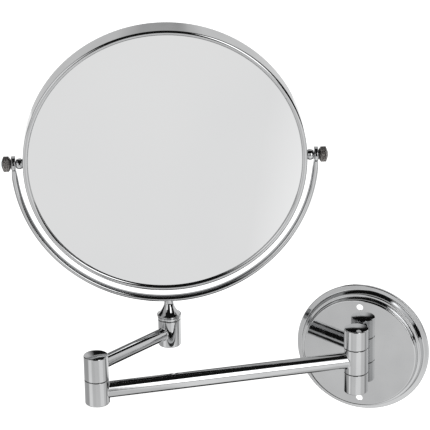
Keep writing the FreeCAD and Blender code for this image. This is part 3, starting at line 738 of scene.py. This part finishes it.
def zinc_steel():
    """Zinc-plated steel: grey-blue spangle and a fine grain."""
    material, nodes, links, shader, place = shader_setup("zinc_steel")
    shader.inputs["Metallic"].default_value = 1.0
    spangle = noise(nodes, links, place, 350, 5)
    links.new(ramp(nodes, links, spangle, (0.44, 0.45, 0.47), (0.66, 0.66, 0.65)),
              shader.inputs["Base Color"])
    links.new(ramp(nodes, links, spangle, (0.22,), (0.42,)), shader.inputs["Roughness"])
    grain = noise(nodes, links, place, 900, 2, stretch=(1, 1, 6))
    bump(nodes, links, shader, grain, 0.12, 0.0001)
    return material


def moulded_plastic(name, low, high, roughness):
    """Moulded plastic with a fine spark-eroded texture."""
    material, nodes, links, shader, place = shader_setup(name)
    grain = noise(nodes, links, place, 1500, 3)
    links.new(ramp(nodes, links, grain, low, high), shader.inputs["Base Color"])
    links.new(ramp(nodes, links, grain, (roughness - 0.08,), (roughness + 0.08,)),
              shader.inputs["Roughness"])
    bump(nodes, links, shader, grain, 0.2, 0.0001)
    return material


def turned_brass():
    material, nodes, links, shader, place = shader_setup("turned_brass")
    shader.inputs["Metallic"].default_value = 1.0
    tone = noise(nodes, links, place, 200, 4)
    links.new(ramp(nodes, links, tone, (0.60, 0.46, 0.20), (0.78, 0.62, 0.32)),
              shader.inputs["Base Color"])
    links.new(ramp(nodes, links, tone, (0.2,), (0.35,)), shader.inputs["Roughness"])
    return material


def dress_frame_nodes(materials):
    """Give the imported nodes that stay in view, or inside, the material of their slot."""
    slots = {part["node"]: part["material_slot"] for part in frame["record"]["subparts"]}
    for node, piece in frame["nodes"].items():
        if piece.hide_render:
            continue
        piece.data.materials.clear()
        piece.data.materials.append(materials[slots[node]])


# ---- Studio ----
def plain(name, tone, emission):
    """Dull material of one grey that also gives light of its own."""
    material = bpy.data.materials.new(name)
    material.use_nodes = True
    shader = material.node_tree.nodes["Principled BSDF"]
    shader.inputs["Base Color"].default_value = (tone, tone, tone, 1)
    shader.inputs["Roughness"].default_value = 1.0
    shader.inputs["Specular IOR Level"].default_value = 0.0
    shader.inputs["Emission Color"].default_value = (1, 1, 1, 1)
    shader.inputs["Emission Strength"].default_value = emission
    return material


def card(name, mesh, centre, material, camera_sees):
    """Piece of the studio, which isn't part of the object."""
    mesh.materials.append(material)
    panel = bpy.data.objects.new(name, mesh)
    bpy.context.scene.collection.objects.link(panel)
    panel.location = centre
    panel.visible_camera = camera_sees
    return panel


def flat_square(name, width):
    bm = bmesh.new()
    bmesh.ops.create_grid(bm, x_segments=1, y_segments=1, size=width / 2)
    mesh = bpy.data.meshes.new(name)
    bm.to_mesh(mesh)
    bm.free()
    return mesh


def dome(name, radius, lowest):
    """Upper part of a ball round the object, closed off at the height lowest."""
    levels, around = 32, 96
    rings = [[Vector((0, 0, radius))]]
    for step in range(1, levels + 1):
        height = radius + (lowest - radius) * step / levels
        level = math.sqrt(radius**2 - height**2)
        angles = [TURN * i / around for i in range(around)]
        rings.append([Vector((level * math.cos(a), level * math.sin(a), height)) for a in angles])
    return mesh_of_rings(name, rings, closed=False)


def maths(nodes, links, operation, *values):
    """Math node on sockets and plain numbers. Returns the socket of its result."""
    node = nodes.new("ShaderNodeMath")
    node.operation = operation
    for socket, value in zip(node.inputs, values):
        if isinstance(value, float):
            socket.default_value = value
        else:
            links.new(value, socket)
    return node.outputs["Value"]


def steps_of(nodes, links, value, stops):
    """Grey that goes through (position, tone) stops as value goes from 0 to 1."""
    node = nodes.new("ShaderNodeValToRGB")
    elements = node.color_ramp.elements
    while len(elements) < len(stops):
        elements.new(0.5)
    for element, (position, tone) in zip(elements, stops):
        element.position = position
        element.color = (tone, tone, tone, 1)
    links.new(value, node.inputs["Fac"])
    return node.outputs["Color"]


def bearing(nodes, links, place):
    """Azimuth from 0 to 1: 0 on the object's left, 0.25 in front, 0.5 on its right."""
    turn = nodes.new("ShaderNodeTexGradient")
    turn.gradient_type = "RADIAL"
    links.new(place, turn.inputs["Vector"])
    return turn.outputs["Fac"]


def bearing_of(azimuth):
    """Value that bearing() has at an azimuth in degrees: 0 is in front, 90 on the right."""
    return 0.25 + azimuth / 360


def light_only(name):
    """Material that only gives light. Returns its nodes, links and the strength's socket."""
    material = bpy.data.materials.new(name)
    material.use_nodes = True
    nodes, links = material.node_tree.nodes, material.node_tree.links
    nodes.remove(nodes["Principled BSDF"])
    lamp = nodes.new("ShaderNodeEmission")
    links.new(lamp.outputs["Emission"], nodes["Material Output"].inputs["Surface"])
    return material, nodes, links, lamp.inputs["Strength"]


# Azimuth in degrees and strength of the light that comes off the floor
FLOOR_LIGHT = (
    (-90, 0.48), (-60, 0.48), (-50, 1.0), (-33, 1.0), (-24, 0.72), (-8, 0.72), (0, 0.78),
    (27, 0.78), (37, 1.0), (68, 1.0), (76, 0.75), (100, 0.75), (108, 0.38), (118, 0.38),
    (132, 1.0), (236, 1.0), (250, 0.5), (270, 0.48),
)
# A dark spot on the floor behind the object, for its shadow: its middle, and where it fades, in m
SHADOW_MIDDLE = (-0.05, 0.12, 0)
SHADOW_FADE = ((0.13, 0.03), (0.18, 1))


def floor_bounce():
    """Light that comes off the floor, lighter and darker by azimuth, with one dark spot."""
    material, nodes, links, strength = light_only("floor_bounce")
    place = nodes.new("ShaderNodeTexCoord").outputs["Object"]
    stops = [(bearing_of(azimuth), tone) for azimuth, tone in FLOOR_LIGHT]
    tone = steps_of(nodes, links, bearing(nodes, links, place), stops)
    reach = nodes.new("ShaderNodeVectorMath")
    reach.operation = "DISTANCE"
    links.new(place, reach.inputs[0])
    reach.inputs[1].default_value = SHADOW_MIDDLE
    shade = steps_of(nodes, links, reach.outputs["Value"], SHADOW_FADE)
    links.new(maths(nodes, links, "MULTIPLY", tone, shade), strength)
    return material


# Soft boxes: azimuth from and to, elevation from and to, in degrees, and strength
SOFT_BOXES = (
    (-84, -40, -16, 52, 0.48),
    (-40, -6, -8, 23, 1.1),
    (-40, -20, 23, 35, 0.5),
    (38, 52, -4, 42, 2.6),
    (52, 66, 8, 40, 1.1),
    (103, 118, -16, 40, 0.82),
    (118, 145, -16, 50, 0.85),
    (145, 192, -16, 28, 0.78),
    (192, 206, -16, 9, 0.75),
    (206, 238, -16, 28, 0.7),
    (145, 238, 28, 72, 0.48),
)
BOX_FADE = 2
TENT_TONE = 0.01


def height_of(elevation):
    """Height on a ball at an elevation in degrees, from 0 at its foot to 1 at its top."""
    return 0.5 + 0.5 * math.sin(math.radians(elevation))


def soft_tent():
    """Dark tent with the soft boxes on it, each with edges that fade over a few degrees."""
    material, nodes, links, strength = light_only("soft_tent")
    place = nodes.new("ShaderNodeTexCoord").outputs["Object"]
    around = bearing(nodes, links, place)
    direction = nodes.new("ShaderNodeVectorMath")
    direction.operation = "NORMALIZE"
    links.new(place, direction.inputs[0])
    split = nodes.new("ShaderNodeSeparateXYZ")
    links.new(direction.outputs["Vector"], split.inputs["Vector"])
    rise = maths(nodes, links, "MULTIPLY_ADD", split.outputs["Z"], 0.5, 0.5)

    def between(value, start, end, scale):
        """1 between two angles and 0 outside them, where value is on the given scale."""
        angles = (start - BOX_FADE, start + BOX_FADE, end - BOX_FADE, end + BOX_FADE)
        return steps_of(nodes, links, value, list(zip(map(scale, angles), (0, 1, 1, 0))))

    total = TENT_TONE
    for left, right, low, high, level in SOFT_BOXES:
        sideways = between(around, left, right, bearing_of)
        upward = between(rise, low, high, height_of)
        patch = maths(nodes, links, "MULTIPLY", sideways, upward)
        total = maths(nodes, links, "MULTIPLY_ADD", patch, level, total)
    links.new(total, strength)
    return material


def world_light(strength):
    world = bpy.data.worlds.new("studio_air")
    bpy.context.scene.world = world
    world.use_nodes = True
    background = world.node_tree.nodes["Background"]
    background.inputs["Color"].default_value = (1, 1, 1, 1)
    background.inputs["Strength"].default_value = strength


def studio():
    """White floor and air. The camera doesn't see the tent or the floor's second card, which
    give the chrome its reflections."""
    floor_z, floor_width = CAD_BOX[0].z - 0.10, 40
    bounce_z, bounce_width = floor_z + 0.002, 6
    tent_r, tent_foot = 1.5, floor_z - 0.05
    card("floor", flat_square("floor", floor_width), (0, 0, floor_z),
         plain("pale_floor", 0.3, 1.0), True)
    middle = Vector((OBJECT_CENTRE.x, OBJECT_CENTRE.y, bounce_z))
    card("floor_bounce", flat_square("floor_bounce", bounce_width), middle, floor_bounce(), False)
    tent = dome("soft_tent", tent_r, tent_foot - OBJECT_CENTRE.z)
    card("soft_tent", tent, OBJECT_CENTRE, soft_tent(), False)
    world_light(1.0)
    bpy.context.scene.view_settings.view_transform = "Standard"


def camera():
    data = bpy.data.cameras.new("camera")
    data.lens, data.sensor_width = 201.24, 36.0
    data.clip_start, data.clip_end = 0.05, 60
    azimuth, elevation, roll = (math.radians(a) for a in (16.46, 21.54, -1.04))
    distance = 1.7129
    target = Vector((-0.09512, -0.060, 0.1190))
    back = Vector((math.sin(azimuth) * math.cos(elevation),
                   -math.cos(azimuth) * math.cos(elevation), math.sin(elevation)))
    eye = bpy.data.objects.new("camera", data)
    bpy.context.scene.collection.objects.link(eye)
    eye.location = target + distance * back
    eye.rotation_mode = "QUATERNION"
    turn = (-back).to_track_quat("-Z", "Y")
    eye.rotation_quaternion = turn @ Matrix.Rotation(roll, 3, "Z").to_quaternion()
    bpy.context.scene.camera = eye


# ---- The whole scene ----
chrome = polished_chrome()
steel = zinc_steel()
knurled = dull_metal()
mirror = silvered_glass()
materials = {
    "chrome": chrome,
    "steel": steel,
    "knob_metal": knurled,
    "mirror_glass": mirror,
    "nylon": moulded_plastic("nylon", (0.02, 0.02, 0.02), (0.05, 0.05, 0.05), 0.5),
    "core_plastic": moulded_plastic("core", (0.05, 0.05, 0.05), (0.12, 0.12, 0.12), 0.6),
    "brass": turned_brass(),
}

wall_plate(chrome)
fixed_knuckle(chrome, "hinge_upper_knuckle", 1)
fixed_knuckle(chrome, "hinge_lower_knuckle", -1)
long_arm(chrome)
short_arm(chrome)
collar_and_bell(chrome)
yoke(chrome)
for side, name in ((-1, "left"), (1, "right")):
    pivot_ball(chrome, side, name)
    nut_washer(steel, side, name)
    thumb_nut(knurled, side, name)
rim_band(chrome)
bezel(chrome, "bezel_of_plain_glass", "front_bezel", ROUND_HEAD)
turned_over = ROUND_HEAD @ Matrix.Rotation(math.pi, 4, "X")
bezel(chrome, "bezel_of_magnifying_glass", "rear_bezel", turned_over)
glasses(mirror)
dress_frame_nodes(materials)

studio()
camera()
